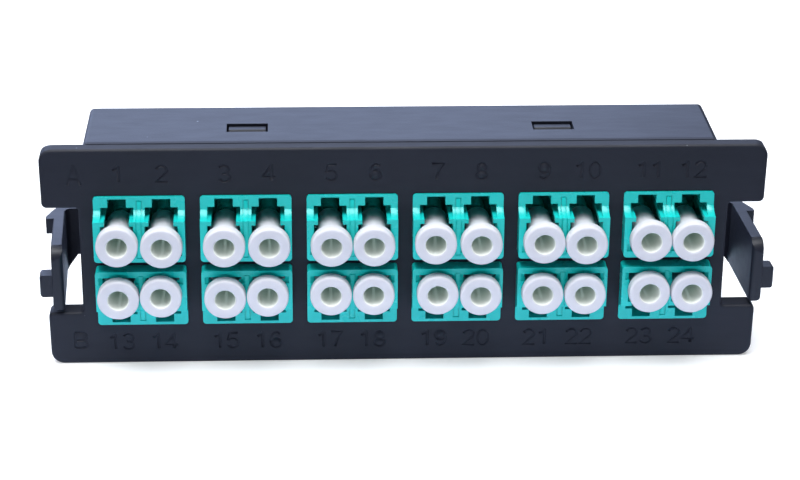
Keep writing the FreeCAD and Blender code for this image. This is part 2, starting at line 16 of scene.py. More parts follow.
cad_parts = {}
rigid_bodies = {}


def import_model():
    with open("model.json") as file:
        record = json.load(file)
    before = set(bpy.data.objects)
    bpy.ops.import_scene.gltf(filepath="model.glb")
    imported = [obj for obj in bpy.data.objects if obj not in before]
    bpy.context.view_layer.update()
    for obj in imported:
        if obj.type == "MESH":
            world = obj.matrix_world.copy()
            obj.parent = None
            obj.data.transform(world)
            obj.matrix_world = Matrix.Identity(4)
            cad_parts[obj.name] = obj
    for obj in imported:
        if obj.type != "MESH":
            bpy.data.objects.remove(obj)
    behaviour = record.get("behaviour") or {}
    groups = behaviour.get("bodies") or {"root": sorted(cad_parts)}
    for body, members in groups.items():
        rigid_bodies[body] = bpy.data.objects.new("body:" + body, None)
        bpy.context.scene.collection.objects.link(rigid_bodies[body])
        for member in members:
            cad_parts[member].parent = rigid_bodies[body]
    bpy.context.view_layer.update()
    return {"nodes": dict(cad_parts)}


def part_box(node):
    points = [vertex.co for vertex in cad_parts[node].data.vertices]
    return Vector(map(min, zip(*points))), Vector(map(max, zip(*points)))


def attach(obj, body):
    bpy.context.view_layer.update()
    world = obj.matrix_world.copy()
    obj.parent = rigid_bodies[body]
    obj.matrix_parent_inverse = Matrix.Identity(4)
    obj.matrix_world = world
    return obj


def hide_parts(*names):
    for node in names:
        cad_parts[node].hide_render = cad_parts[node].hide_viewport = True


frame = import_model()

logging.basicConfig(level=logging.INFO, format="%(message)s")
log = logging.getLogger("cassette")

MM = 0.001
MERGE_DISTANCE = 0.002 * MM
PLANAR_ANGLE = math.radians(0.6)
BEVEL_ANGLE = math.radians(38)
SMOOTH_ANGLE = math.radians(32)
# How strongly a flat's own normal rules its edges, from 1 to 100.
FLAT_WEIGHT = 80
# The range that a noise seldom leaves.
NOISE_LOW = 0.3
NOISE_HIGH = 0.7

Socket = bpy.types.NodeSocket
Triple = tuple[float, float, float]
Colour = tuple[float, float, float]
WHITE: Colour = (1.0, 1.0, 1.0)


class Slot(Enum):
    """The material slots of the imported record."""

    BLACK = "black_moulding"
    TEAL = "teal_moulding"
    WHITE = "white_plug"


class Row(Enum):
    """The two rows of adapters."""

    UPPER = "upper"
    LOWER = "lower"


class Side(Enum):
    """The two sides of the cassette, as the latches' nodes and bodies name them."""

    LEFT = "left"
    RIGHT = "right"


class Joining(Enum):
    """What one mesh does to another."""

    CUT = "DIFFERENCE"
    FUSE = "UNION"


# ---------------------------------------------------------------- mesh helpers


def pick(obj: bpy.types.Object) -> None:
    """Selects one object alone and makes it the active one.

    Args:
        obj: the object to select.
    """
    for other in bpy.context.view_layer.objects:
        other.select_set(False)
    obj.select_set(True)
    bpy.context.view_layer.objects.active = obj


def tidy_mesh(obj: bpy.types.Object) -> None:
    """Merges a mesh's doubles and joins its flat triangles into whole faces.

    Args:
        obj: the object whose mesh it is.
    """
    pick(obj)
    bpy.ops.object.mode_set(mode="EDIT")
    bpy.ops.mesh.select_mode(type="VERT")
    bpy.ops.mesh.select_all(action="SELECT")
    bpy.ops.mesh.remove_doubles(threshold=MERGE_DISTANCE)
    bpy.ops.mesh.dissolve_limited(angle_limit=PLANAR_ANGLE)
    bpy.ops.object.mode_set(mode="OBJECT")


def apply_modifier(obj: bpy.types.Object, modifier: bpy.types.Modifier) -> None:
    """Applies one modifier of an object."""
    pick(obj)
    bpy.ops.object.modifier_apply(modifier=modifier.name)


def soften(obj: bpy.types.Object, width: float, segments: int = 2) -> None:
    """Rounds an object's sharp edges and smooths what is left.

    Args:
        obj: the object.
        width: the rounding's width in metres.
        segments: how many faces the rounding has.
    """
    bevel = obj.modifiers.new("rounding", "BEVEL")
    bevel.width = width
    bevel.segments = segments
    bevel.limit_method = "ANGLE"
    bevel.angle_limit = BEVEL_ANGLE
    apply_modifier(obj, bevel)
    smooth(obj)


def smooth(obj: bpy.types.Object) -> None:
    """Shades an object smooth except across its sharp edges, and keeps its flats flat.

    Args:
        obj: the object.
    """
    pick(obj)
    bpy.ops.object.shade_smooth_by_angle(angle=SMOOTH_ANGLE)
    weigh = obj.modifiers.new("flats", "WEIGHTED_NORMAL")
    weigh.keep_sharp = True
    weigh.weight = FLAT_WEIGHT
    apply_modifier(obj, weigh)


def combine(
    obj: bpy.types.Object, other: bpy.types.Object, how: Joining, crossing: bool = False
) -> None:
    """Cuts another object out of one, or joins the two, and deletes the other.

    Args:
        obj: the object that stays.
        other: the object that is used up.
        how: whether the other is cut out or fused on.
        crossing: whether the other object's parts cross each other.
    """
    boolean = obj.modifiers.new("combine", "BOOLEAN")
    boolean.operation = how.value
    boolean.solver = "EXACT"
    boolean.use_self = crossing
    boolean.object = other
    apply_modifier(obj, boolean)
    bpy.data.objects.remove(other)


def paint(obj: bpy.types.Object, *finishes: bpy.types.Material) -> None:
    """Gives an object these materials and no others.

    Args:
        obj: the object.
        *finishes: its materials, in the order of their indices.
    """
    obj.data.materials.clear()
    for finish in finishes:
        obj.data.materials.append(finish)


def copy_node(node: str, name: str) -> bpy.types.Object:
    """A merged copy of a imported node's mesh, as a piece of its own.

    Args:
        node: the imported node.
        name: the new piece's name.

    Returns:
        The new object, at the origin, with its place in its mesh.
    """
    source = frame["nodes"][node]
    piece = bpy.data.objects.new(name, source.data.copy())
    bpy.context.scene.collection.objects.link(piece)
    piece.data.name = name
    piece.data.materials.clear()
    for face in piece.data.polygons:
        face.material_index = 0
    tidy_mesh(piece)
    return piece


def clone(piece: bpy.types.Object, name: str, move: Matrix) -> bpy.types.Object:
    """A copy of a piece with its own mesh, moved in its mesh.

    Args:
        piece: the piece to copy.
        name: the copy's name.
        move: where the copy goes, relative to the piece.

    Returns:
        The copy.
    """
    twin = bpy.data.objects.new(name, piece.data.copy())
    bpy.context.scene.collection.objects.link(twin)
    twin.data.name = name
    twin.data.transform(move)
    return twin


def settle(piece: bpy.types.Object, body: str, slot: Slot, *nodes: str) -> None:
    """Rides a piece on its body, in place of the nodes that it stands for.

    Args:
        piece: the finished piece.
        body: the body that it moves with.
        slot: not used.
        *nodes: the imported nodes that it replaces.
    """
    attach(piece, body)
    if nodes:
        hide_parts(*nodes)
    log.info("%-16s %6d faces on %s", piece.name, len(piece.data.polygons), body)


def middle(node: str) -> Vector:
    """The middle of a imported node's box."""
    low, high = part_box(node)
    return (low + high) / 2


# ---------------------------------------------------------------- finishes


class Graph:
    """A material's node tree, built one node at a time."""

    def __init__(self, name: str) -> None:
        """Starts an empty material.

        Args:
            name: the material's name.
        """
        self.material = bpy.data.materials.new(name)
        self.material.use_nodes = True
        self.tree = self.material.node_tree
        self.tree.nodes.clear()
        self.output = self.add("ShaderNodeOutputMaterial")
        self.place = self.add("ShaderNodeTexCoord").outputs["Object"]

    def add(self, kind: str, **settings: object) -> bpy.types.Node:
        """A new node.

        Args:
            kind: its type.
            **settings: settings of the node itself, by name.

        Returns:
            The node.
        """
        node = self.tree.nodes.new(kind)
        for key, value in settings.items():
            setattr(node, key, value)
        return node

    def join(self, source: Socket, target: Socket) -> None:
        """Links two sockets."""
        self.tree.links.new(source, target)

    def stretched(self, scale: Triple) -> Socket:
        """The object's coordinates, scaled along each axis.

        Args:
            scale: the factors along X, Y and Z.

        Returns:
            The scaled coordinates.
        """
        mapping = self.add("ShaderNodeMapping")
        mapping.inputs["Scale"].default_value = scale
        self.join(self.place, mapping.inputs["Vector"])
        return mapping.outputs["Vector"]

    def along_y(self) -> Socket:
        """Splits off the object's Y coordinate.

        Returns:
            The distance to the rear, in metres.
        """
        parts = self.add("ShaderNodeSeparateXYZ")
        self.join(self.place, parts.inputs["Vector"])
        return parts.outputs["Y"]

    def noise(self, scale: float, detail: float = 3.0, vector: Socket | None = None) -> Socket:
        """A noise value.

        Args:
            scale: its features per metre.
            detail: how many octaves it has.
            vector: coordinates other than the object's own.

        Returns:
            A value from 0 to 1.
        """
        node = self.add("ShaderNodeTexNoise")
        node.inputs["Scale"].default_value = scale
        node.inputs["Detail"].default_value = detail
        self.join(vector or self.place, node.inputs["Vector"])
        return node.outputs["Fac"]

    def maths(self, operation: str, first: Socket, second: Socket | float) -> Socket:
        """One sum of a value with another value or a number.

        Args:
            operation: the sum's name, such as ADD.
            first: the value.
            second: the other value, or a number.

        Returns:
            The sum.
        """
        node = self.add("ShaderNodeMath", operation=operation)
        self.join(first, node.inputs[0])
        if isinstance(second, (int, float)):
            node.inputs[1].default_value = second
        else:
            self.join(second, node.inputs[1])
        return node.outputs["Value"]

    def spread(
        self, value: Socket, start: float, end: float, low: float, high: float
    ) -> Socket:
        """A value's range laid onto another range, and held inside it.

        Args:
            value: the value.
            start: where its own range starts.
            end: where its own range ends.
            low: what start becomes.
            high: what end becomes.

        Returns:
            The new value.
        """
        node = self.add("ShaderNodeMapRange")
        self.join(value, node.inputs["Value"])
        node.inputs["From Min"].default_value = start
        node.inputs["From Max"].default_value = end
        node.inputs["To Min"].default_value = low
        node.inputs["To Max"].default_value = high
        return node.outputs["Result"]

    def level(self, noise: Socket, low: float, high: float) -> Socket:
        """A noise's usual range, laid onto low to high."""
        return self.spread(noise, NOISE_LOW, NOISE_HIGH, low, high)

    def blend(self, factor: Socket, first: Socket | Colour, second: Socket | Colour) -> Socket:
        """A mix of two colours.

        Args:
            factor: 0 for the first, 1 for the second.
            first: a colour socket or three numbers.
            second: a colour socket or three numbers.

        Returns:
            The mixed colour.
        """
        node = self.add("ShaderNodeMix", data_type="RGBA")
        self.join(factor, node.inputs[0])
        for value, socket in ((first, node.inputs[6]), (second, node.inputs[7])):
            if isinstance(value, Socket):
                self.join(value, socket)
            else:
                socket.default_value = (*value, 1.0)
        return node.outputs[2]

    def specks(self, per_metre: float, size: float, share: float) -> Socket:
        """A mask of scattered specks.

        Args:
            per_metre: cells per metre, one speck at most in each.
            size: a speck's radius, in cells.
            share: the share of the cells that have one.

        Returns:
            1 on a speck and 0 elsewhere.
        """
        cells = self.add("ShaderNodeTexVoronoi")
        cells.inputs["Scale"].default_value = per_metre
        self.join(self.place, cells.inputs["Vector"])
        near = self.spread(cells.outputs["Distance"], size * 0.5, size, 1.0, 0.0)
        parts = self.add("ShaderNodeSeparateColor")
        self.join(cells.outputs["Color"], parts.inputs["Color"])
        chosen = self.maths("LESS_THAN", parts.outputs["Red"], share)
        return self.maths("MULTIPLY", near, chosen)

    def bump(self, height: Socket, distance: float) -> Socket:
        """A bumped normal.

        Args:
            height: the relief, from 0 to 1.
            distance: the relief's depth in metres.

        Returns:
            The normal.
        """
        node = self.add("ShaderNodeBump")
        node.inputs["Strength"].default_value = 1.0
        node.inputs["Distance"].default_value = distance
        self.join(height, node.inputs["Height"])
        return node.outputs["Normal"]

    def finish(
        self,
        colour: Socket,
        roughness: Socket,
        normal: Socket,
        glow: Socket | None = None,
        **settings: object,
    ) -> bpy.types.Material:
        """Ends the tree with its shader.

        Args:
            colour: the base colour.
            roughness: the roughness.
            normal: the bumped normal.
            glow: the strength of its own light, where it has any.
            **settings: other sockets of the shader, spaces written as underscores.

        Returns:
            The material.
        """
        shader = self.add("ShaderNodeBsdfPrincipled")
        self.join(colour, shader.inputs["Base Color"])
        self.join(roughness, shader.inputs["Roughness"])
        self.join(normal, shader.inputs["Normal"])
        if glow is not None:
            self.join(glow, shader.inputs["Emission Strength"])
        for key, value in settings.items():
            shader.inputs[key.replace("_", " ")].default_value = value
        self.join(shader.outputs["BSDF"], self.output.inputs["Surface"])
        return self.material


@dataclass(frozen=True)
class SatinMoulding:
    """Black moulded plastic with a fine satin grain and a little dust.

    Attributes:
        grain_range: the part of the grain's noise over which its flecks grow.
        grain_share: how much of the lighter colour a full fleck has.
        roughness: the least and the most of it.
        coarser: how much rougher it is in front of y = 0, where its tool is textured.
        texture_edge: how far on each side of y = 0 the texture fades.
    """

    name: str = "satin_black"
    dark: Colour = (0.0075, 0.0085, 0.0150)
    light: Colour = (0.0110, 0.0125, 0.0220)
    dust: Colour = (0.20, 0.22, 0.26)
    sheen: Colour = (0.55, 0.66, 1.0)
    cloud_scale: float = 70.0
    grain_scale: float = 5200.0
    grain_range: tuple[float, float] = (0.35, 0.65)
    grain_share: float = 0.35
    flow_scale: float = 900.0
    flow_stretch: Triple = (0.25, 1.0, 1.0)
    specks_per_metre: float = 300.0
    speck_size: float = 0.05
    speck_share: float = 0.10
    roughness: tuple[float, float] = (0.44, 0.49)
    coarser: float = 0.0
    texture_edge: float = 0.1 * MM
    grain_depth: float = 0.012 * MM

    def build(self) -> bpy.types.Material:
        """Builds the material.

        Returns:
            The material.
        """
        graph = Graph(self.name)
        cloud = graph.noise(self.cloud_scale, 4.0)
        grain = graph.noise(self.grain_scale, 2.0)
        flow = graph.noise(self.flow_scale, 3.0, graph.stretched(self.flow_stretch))
        specks = graph.specks(self.specks_per_metre, self.speck_size, self.speck_share)
        tone = graph.blend(graph.level(cloud, 0.0, 1.0), self.dark, self.light)
        fleck = graph.spread(grain, *self.grain_range, 0.0, self.grain_share)
        tone = graph.blend(fleck, tone, self.light)
        tone = graph.blend(specks, tone, self.dust)
        edge = self.texture_edge
        front = graph.spread(graph.along_y(), -edge, edge, self.coarser, 0.0)
        rough = graph.maths("ADD", graph.level(flow, *self.roughness), front)
        normal = graph.bump(grain, self.grain_depth)
        return graph.finish(
            tone, rough, normal, Specular_IOR_Level=0.48,
            Sheen_Weight=0.05, Sheen_Roughness=0.45, Sheen_Tint=(*self.sheen, 1.0),
        )


@dataclass(frozen=True)
class GlossMoulding:
    """Teal moulded plastic, half gloss.

    Attributes:
        grain_range: the part of the grain's noise over which its flecks grow.
        grain_share: how much of the paler colour a full fleck has.
        roughness: the least and the most of it.
    """

    name: str = "gloss_teal"
    deep: Colour = (0.006, 0.540, 0.500)
    pale: Colour = (0.010, 0.610, 0.565)
    cloud_scale: float = 160.0
    grain_scale: float = 3800.0
    grain_range: tuple[float, float] = (0.4, 0.7)
    grain_share: float = 0.25
    roughness: tuple[float, float] = (0.23, 0.32)
    grain_depth: float = 0.006 * MM

    def build(self) -> bpy.types.Material:
        """Builds the material.

        Returns:
            The material.
        """
        graph = Graph(self.name)
        cloud = graph.noise(self.cloud_scale)
        grain = graph.noise(self.grain_scale, 2.0)
        tone = graph.blend(graph.level(cloud, 0.0, 1.0), self.deep, self.pale)
        fleck = graph.spread(grain, *self.grain_range, 0.0, self.grain_share)
        tone = graph.blend(fleck, tone, self.pale)
        rough = graph.level(cloud, *self.roughness)
        normal = graph.bump(grain, self.grain_depth)
        return graph.finish(tone, rough, normal, Specular_IOR_Level=0.50)


@dataclass(frozen=True)
class SoftPlug:
    """White soft plastic that light sinks into a little."""

    name: str = "soft_white"
    white: Colour = (0.72, 0.705, 0.745)
    shade: Colour = (0.69, 0.675, 0.715)
    cloud_scale: float = 420.0
    grain_scale: float = 4200.0
    roughness: tuple[float, float] = (0.43, 0.54)
    grain_depth: float = 0.008 * MM
    light_reach: float = 0.6 * MM

    def build(self) -> bpy.types.Material:
        """Builds the material.

        Returns:
            The material.
        """
        graph = Graph(self.name)
        cloud = graph.noise(self.cloud_scale)
        grain = graph.noise(self.grain_scale, 2.0)
        tone = graph.blend(graph.level(cloud, 0.0, 1.0), self.shade, self.white)
        rough = graph.level(cloud, *self.roughness)
        normal = graph.bump(grain, self.grain_depth)
        return graph.finish(
            tone, rough, normal, Specular_IOR_Level=0.35, Subsurface_Weight=0.12,
            Subsurface_Scale=self.light_reach, Subsurface_Radius=(1.0, 1.0, 1.1),
        )


@dataclass(frozen=True)
class PlugBore:
    """The inside of a dust plug, painted paler than the plug's skin at its mouth and tinted teal
    towards its closed end: painted light standing for light that comes in through the wall and off
    the teal adapter.

    Attributes:
        glow: the colour of a painted glow, an emission that stands for light coming through the
            plug's wall.
        glow_level: the painted glow's strength at the mouth, from where it fades.
    """

    name: str = "plug_bore"
    # mouth and deep are painted light: paler than the skin at the mouth, tinted teal deeper in.
    mouth: Colour = (0.86, 0.88, 0.83)
    deep: Colour = (0.72, 0.86, 0.79)
    mouth_y: float = -7.6 * MM
    deep_y: float = -2.0 * MM
    glow: Colour = (1.0, 0.97, 0.86)
    glow_level: float = 0.09
    cloud_scale: float = 420.0
    roughness: tuple[float, float] = (0.45, 0.56)
    grain_depth: float = 0.01 * MM

    def build(self) -> bpy.types.Material:
        """Builds the material.

        Returns:
            The material.
        """
        graph = Graph(self.name)
        cloud = graph.noise(self.cloud_scale)
        # Painted light: the colour runs from the pale mouth to the teal tint with depth, standing
        # for light through the wall and off the adapter.
        depth = graph.spread(graph.along_y(), self.mouth_y, self.deep_y, 0.0, 1.0)
        tone = graph.blend(depth, self.mouth, self.deep)
        rough = graph.level(cloud, *self.roughness)
        normal = graph.bump(cloud, self.grain_depth)
        # Painted glow: emission strongest at the mouth and fading with depth, standing for light
        # through the plug's wall.
        fade = graph.maths("POWER", graph.spread(depth, 0.0, 1.0, 1.0, 0.0), 2.0)
        painted_glow = graph.maths("MULTIPLY", fade, self.glow_level)
        return graph.finish(
            tone, rough, normal, painted_glow, Specular_IOR_Level=0.1, Emission_Color=(*self.glow, 1.0)
        )


@dataclass(frozen=True)
class GroundCeramic:
    """White ceramic, ground smooth."""

    name: str = "ground_ceramic"
    white: Colour = (0.83, 0.82, 0.78)
    cream: Colour = (0.78, 0.765, 0.71)
    ring_scale: float = 2600.0
    ring_stretch: Triple = (0.15, 1.0, 0.15)
    roughness: tuple[float, float] = (0.16, 0.28)
    ring_depth: float = 0.002 * MM

    def build(self) -> bpy.types.Material:
        """Builds the material.

        Returns:
            The material.
        """
        graph = Graph(self.name)
        rings = graph.noise(self.ring_scale, 2.0, graph.stretched(self.ring_stretch))
        tone = graph.blend(graph.level(rings, 0.0, 1.0), self.cream, self.white)
        rough = graph.level(rings, *self.roughness)
        normal = graph.bump(rings, self.ring_depth)
        return graph.finish(tone, rough, normal, Specular_IOR_Level=0.6)


@dataclass(frozen=True)
class StudioFloor:
    """A white floor that keeps a soft shadow and lights the cassette as a bluish card would.

    Attributes:
        colour: what the camera sees of it.
        card: what lights the cassette from nearby.
        beyond: what lights it from further off.
        card_near: how far the card reaches.
        card_far: where it has faded into what is beyond.
        lift: the light added to what the camera sees.
        card_glow: the light added to the card.
    """

    name: str = "studio_floor"
    colour: Colour = (0.80, 0.80, 0.80)
    card: Colour = (0.50, 0.57, 0.70)
    beyond: Colour = (0.10, 0.11, 0.135)
    card_near: float = 50 * MM
    card_far: float = 130 * MM
    lift: float = 0.42
    card_glow: float = 0.45

    def build(self) -> bpy.types.Material:
        """Builds the material.

        Returns:
            The material.
        """
        graph = Graph(self.name)
        ray = graph.add("ShaderNodeLightPath").outputs
        seen = graph.maths("MAXIMUM", ray["Is Camera Ray"], ray["Is Transmission Ray"])
        away = graph.add("ShaderNodeVectorMath", operation="LENGTH")
        graph.join(graph.place, away.inputs[0])
        far = graph.spread(away.outputs["Value"], self.card_near, self.card_far, 0.0, 1.0)
        bounce = graph.blend(far, self.card, self.beyond)
        base = graph.add("ShaderNodeBsdfDiffuse")
        graph.join(graph.blend(seen, bounce, self.colour), base.inputs["Color"])
        glow = graph.add("ShaderNodeEmission")
        graph.join(graph.blend(seen, bounce, WHITE), glow.inputs["Color"])
        strength = graph.spread(seen, 0.0, 1.0, self.card_glow, self.lift)
        graph.join(strength, glow.inputs["Strength"])
        both = graph.add("ShaderNodeAddShader")
        graph.join(base.outputs["BSDF"], both.inputs[0])
        graph.join(glow.outputs["Emission"], both.inputs[1])
        graph.join(both.outputs["Shader"], graph.output.inputs["Surface"])
        return graph.material


@dataclass
class Finishes:
    """Every finish of the cassette, built once."""

    plate: bpy.types.Material
    black: bpy.types.Material
    teal: bpy.types.Material
    white: bpy.types.Material
    bore: bpy.types.Material
    ceramic: bpy.types.Material

    @classmethod
    def build(cls) -> "Finishes":
        """Builds each material once.

        Returns:
            All the finishes.
        """
        return cls(
            plate=SatinMoulding("textured_black", coarser=0.18).build(),
            black=SatinMoulding().build(),
            teal=GlossMoulding().build(),
            white=SoftPlug().build(),
            bore=PlugBore().build(),
            ceramic=GroundCeramic().build(),
        )


# ---------------------------------------------------------------- faceplate and its numerals


Stroke = list[tuple[float, float]]
ARC_STEP_DEG = 24
# A line whose ends are closer than this, in cells, is a closed loop.
CLOSED_GAP = 1e-6


def arc(x: float, z: float, wide: float, high: float, start: float, end: float) -> Stroke:
    """Points along part of an ellipse.

    Args:
        x: the middle's distance to the right.
        z: the middle's height.
        wide: half the ellipse's width.
        high: half its height.
        start: the angle it starts at, in degrees from +x.
        end: the angle it ends at.

    Returns:
        The points, both ends included.
    """
    steps = max(2, round(abs(end - start) / ARC_STEP_DEG))
    turns = [math.radians(start + (end - start) * step / steps) for step in range(steps + 1)]
    return [(x + wide * math.cos(turn), z + high * math.sin(turn)) for turn in turns]


@dataclass(frozen=True)
class Lettering:
    """Plain letters and numbers as centre lines, in cells of height 1.

    Attributes:
        number_width: the width of a number's cell.
        advance: how far each mark starts to the right of the one before it.
        letter_width: the width of a letter's cell.
        stretch: how much the whole label is widened.
    """

    number_width: float = 0.77
    advance: float = 0.64
    letter_width: float = 0.90
    stretch: float = 1.12

    def strokes(self, character: str) -> list[Stroke]:
        """The centre lines of one character.

        Args:
            character: a digit, A or B.

        Returns:
            Its lines, in its own cell.
        """
        six = [
            arc(0.39, 0.34, 0.23, 0.26, 0, 360),
            arc(0.40, 0.50, 0.25, 0.42, 48, 180) + [(0.155, 0.36)],
        ]
        shapes = {
            "0": [arc(0.385, 0.5, 0.24, 0.42, 0, 360)],
            "1": [[(0.19, 0.70), (0.34, 0.78), (0.44, 0.92)], [(0.44, 0.92), (0.44, 0.08)]],
            "2": [arc(0.385, 0.68, 0.23, 0.24, 168, -38) + [(0.13, 0.08), (0.64, 0.08)]],
            "3": [
                arc(0.37, 0.71, 0.21, 0.21, 160, -90) + [(0.30, 0.50)],
                arc(0.37, 0.29, 0.24, 0.21, 90, -160),
            ],
            "4": [[(0.50, 0.92), (0.11, 0.31), (0.67, 0.31)], [(0.50, 0.92), (0.50, 0.08)]],
            "5": [
                [(0.60, 0.92), (0.23, 0.92), (0.15, 0.50)],
                arc(0.37, 0.345, 0.24, 0.265, 142, -155),
            ],
            "6": six,
            "7": [[(0.12, 0.92), (0.64, 0.92), (0.46, 0.62), (0.36, 0.35), (0.31, 0.08)]],
            "8": [arc(0.385, 0.71, 0.19, 0.21, 0, 360), arc(0.385, 0.29, 0.235, 0.21, 0, 360)],
            "9": [[(self.number_width - x, 1 - z) for x, z in line] for line in six],
            "A": [
                [(0.21, 0.06), (0.45, 0.92)],
                [(0.45, 0.92), (0.69, 0.06)],
                [(0.29, 0.34), (0.61, 0.34)],
            ],
            "B": [
                [(0.17, 0.08), (0.17, 0.92)],
                [(0.17, 0.92)] + arc(0.50, 0.71, 0.19, 0.21, 90, -90) + [(0.17, 0.50)],
                [(0.50, 0.50)] + arc(0.50, 0.29, 0.23, 0.21, 90, -90) + [(0.17, 0.08)],
            ],
        }
        return shapes[character]

    def width(self, text: str) -> float:
        """The width of a whole label."""
        last = self.letter_width if text[-1].isalpha() else self.number_width
        return self.stretch * (last + self.advance * (len(text) - 1))

    def lines(self, text: str) -> list[Stroke]:
        """The centre lines of a whole label.

        Args:
            text: the label's characters.

        Returns:
            Its lines, with the label's middle at (0, 0).
        """
        found = []
        left = -self.width(text) / 2
        for mark in text:
            for stroke in self.strokes(mark):
                found.append([(left + self.stretch * x, z - 0.5) for x, z in stroke])
            left += self.stretch * self.advance
        return found


@dataclass(frozen=True)
class Label:
    """One engraved letter or number: its text, its middle and its height."""

    text: str
    x: float
    z: float
    height: float


@dataclass
class Numerals:
    """The engraved port numbers, and the letters that name the rows.

    Attributes:
        stroke_width: the width of a groove at the plate's face.
        depth: the depth of a groove.
        upper_right: how far the upper numbers sit to the right of their ports.
        lower_right: the same for the lower numbers.
        letters: the two letters.
    """

    lettering: Lettering = Lettering()
    stroke_width: float = 0.46 * MM
    depth: float = 0.15 * MM
    bar_corners: int = 3
    upper_right: float = 0.2 * MM
    lower_right: float = -0.15 * MM
    upper_z: float = 29.8 * MM
    lower_z: float = 3.55 * MM
    height: float = 2.9 * MM
    ports_per_row: int = 12
    letters: tuple[Label, ...] = (
        Label("A", -46.95 * MM, 29.7 * MM, 3.6 * MM),
        Label("B", -46.95 * MM, 3.8 * MM, 2.9 * MM),
    )

    def labels(self) -> list[Label]:
        """Places the two letters, and each number by its port.

        Returns:
            Every label, with its middle and its height.
        """
        found = list(self.letters)
        for port in range(1, 2 * self.ports_per_row + 1):
            upper = port <= self.ports_per_row
            right = self.upper_right if upper else self.lower_right
            x = middle("dust_plug_%02d" % port).x + right
            z = self.upper_z if upper else self.lower_z
            found.append(Label(str(port), x, z, self.height))
        return found

    def cutter(self, face_y: float) -> bpy.types.Object:
        """All the labels as round bars along their lines, sunk into the faceplate.

        Args:
            face_y: the faceplate's front face.

        Returns:
            The bars, as one cutting mesh.
        """
        half = self.stroke_width / 2
        radius = (half * half + self.depth * self.depth) / (2 * self.depth)
        curve = bpy.data.curves.new("numeral_lines", "CURVE")
        curve.dimensions = "3D"
        curve.bevel_depth = radius
        curve.bevel_resolution = self.bar_corners
        curve.use_fill_caps = True
        for label in self.labels():
            for line in self.lettering.lines(label.text):
                self.draw(curve, label, line, face_y - (radius - self.depth))
        bars = bpy.data.objects.new("numeral_lines", curve)
        bpy.context.scene.collection.objects.link(bars)
        pick(bars)
        bpy.ops.object.convert(target="MESH")
        return bpy.context.object

    @staticmethod
    def draw(curve: bpy.types.Curve, label: Label, line: Stroke, y: float) -> None:
        """Adds one line of a label to the curve.

        Args:
            curve: the curve.
            label: the label.
            line: the line's points, in the label's cell.
            y: where the line lies from front to rear.
        """
        closed = math.dist(line[0], line[-1]) < CLOSED_GAP
        points = line[:-1] if closed else line
        spline = curve.splines.new("POLY")
        spline.points.add(len(points) - 1)
        spline.use_cyclic_u = closed
        for point, (x, z) in zip(spline.points, points):
            point.co = (label.x + x * label.height, y, label.z + z * label.height, 1.0)


@dataclass
class FrontFrame:
    """The one-piece moulding: faceplate, shroud and hinge posts."""

    finish: bpy.types.Material
    numerals: Numerals
    edge_round: float = 0.14 * MM

    def build(self) -> None:
        """Softens the frame and engraves it."""
        piece = copy_node("front_frame", "cassette_frame")
        soften(piece, self.edge_round)
        face_y = min(vertex.co.y for vertex in piece.data.vertices)
        combine(piece, self.numerals.cutter(face_y), Joining.CUT, crossing=True)
        smooth(piece)
        paint(piece, self.finish)
        settle(piece, "cassette", Slot.BLACK, "front_frame")


# ---------------------------------------------------------------- adapters, retainer, latches


@dataclass
class AdapterBank:
    """Twelve duplex adapters in two rows, each with its pair of sleeves.

    Attributes:
        side_fill: what each side gains, which fills the hairline beside it in its window.
    """

    finish: bpy.types.Material
    sleeve_finish: bpy.types.Material
    edge_round: float = 0.17 * MM
    side_fill: float = 0.05 * MM
    count: int = 12

    def build(self) -> None:
        """Softens one adapter of each row and copies it along the row."""
        per_row = self.count // 2
        for row, first in ((Row.UPPER, 1), (Row.LOWER, per_row + 1)):
            model = copy_node("adapter_%02d" % first, "adapter_" + row.value)
            self.widen(model)
            soften(model, self.edge_round)
            paint(model, self.finish)
            start = middle("adapter_%02d" % first)
            for number in range(first, first + per_row):
                node = "adapter_%02d" % number
                step = Matrix.Translation(middle(node) - start)
                piece = clone(model, "duplex_%02d" % number, step)
                settle(piece, "cassette", Slot.TEAL, node)
            bpy.data.objects.remove(model)

    def widen(self, model: bpy.types.Object) -> None:
        """Stretches an adapter across by its side fill.

        Args:
            model: the adapter, before its copies are made.
        """
        corners = [vertex.co.x for vertex in model.data.vertices]
        centre = (min(corners) + max(corners)) / 2
        share = 1 + 2 * self.side_fill / (max(corners) - min(corners))
        to_centre = Matrix.Translation((centre, 0, 0))
        model.data.transform(to_centre @ Matrix.Diagonal((share, 1, 1, 1)) @ to_centre.inverted())

    def dress_sleeves(self) -> None:
        """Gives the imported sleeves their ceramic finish."""
        for number in range(1, self.count + 1):
            paint(frame["nodes"]["sleeve_pair_%02d" % number], self.sleeve_finish)


@dataclass
class Retainer:
    """The plate that snaps into the shroud and holds the adapters."""

    finish: bpy.types.Material
    edge_round: float = 0.08 * MM

    def build(self) -> None:
        """Softens the retainer."""
        piece = copy_node("rear_retainer", "snap_retainer")
        soften(piece, self.edge_round)
        paint(piece, self.finish)
        settle(piece, "cassette", Slot.BLACK, "rear_retainer")


@dataclass
class SideLatch:
    """One squeeze latch: an arm, its finger tab and its tooth."""

    side: Side
    finish: bpy.types.Material
    edge_round: float = 0.16 * MM
    corner_faces: int = 3

    def build(self) -> None:
        """Softens the latch."""
        node = "latch_" + self.side.value
        piece = copy_node(node, "squeeze_latch_" + self.side.value)
        soften(piece, self.edge_round, self.corner_faces)
        paint(piece, self.finish)
        settle(piece, node, Slot.BLACK, node)


# ---------------------------------------------------------------- dust plugs


def quarter(first: int, steps: int) -> list[tuple[float, float]]:
    """The sine and cosine of each step of a quarter turn in so many steps, from the first on."""
    turns = [math.pi / 2 * step / steps for step in range(first, steps + 1)]
    return [(math.sin(turn), math.cos(turn)) for turn in turns]


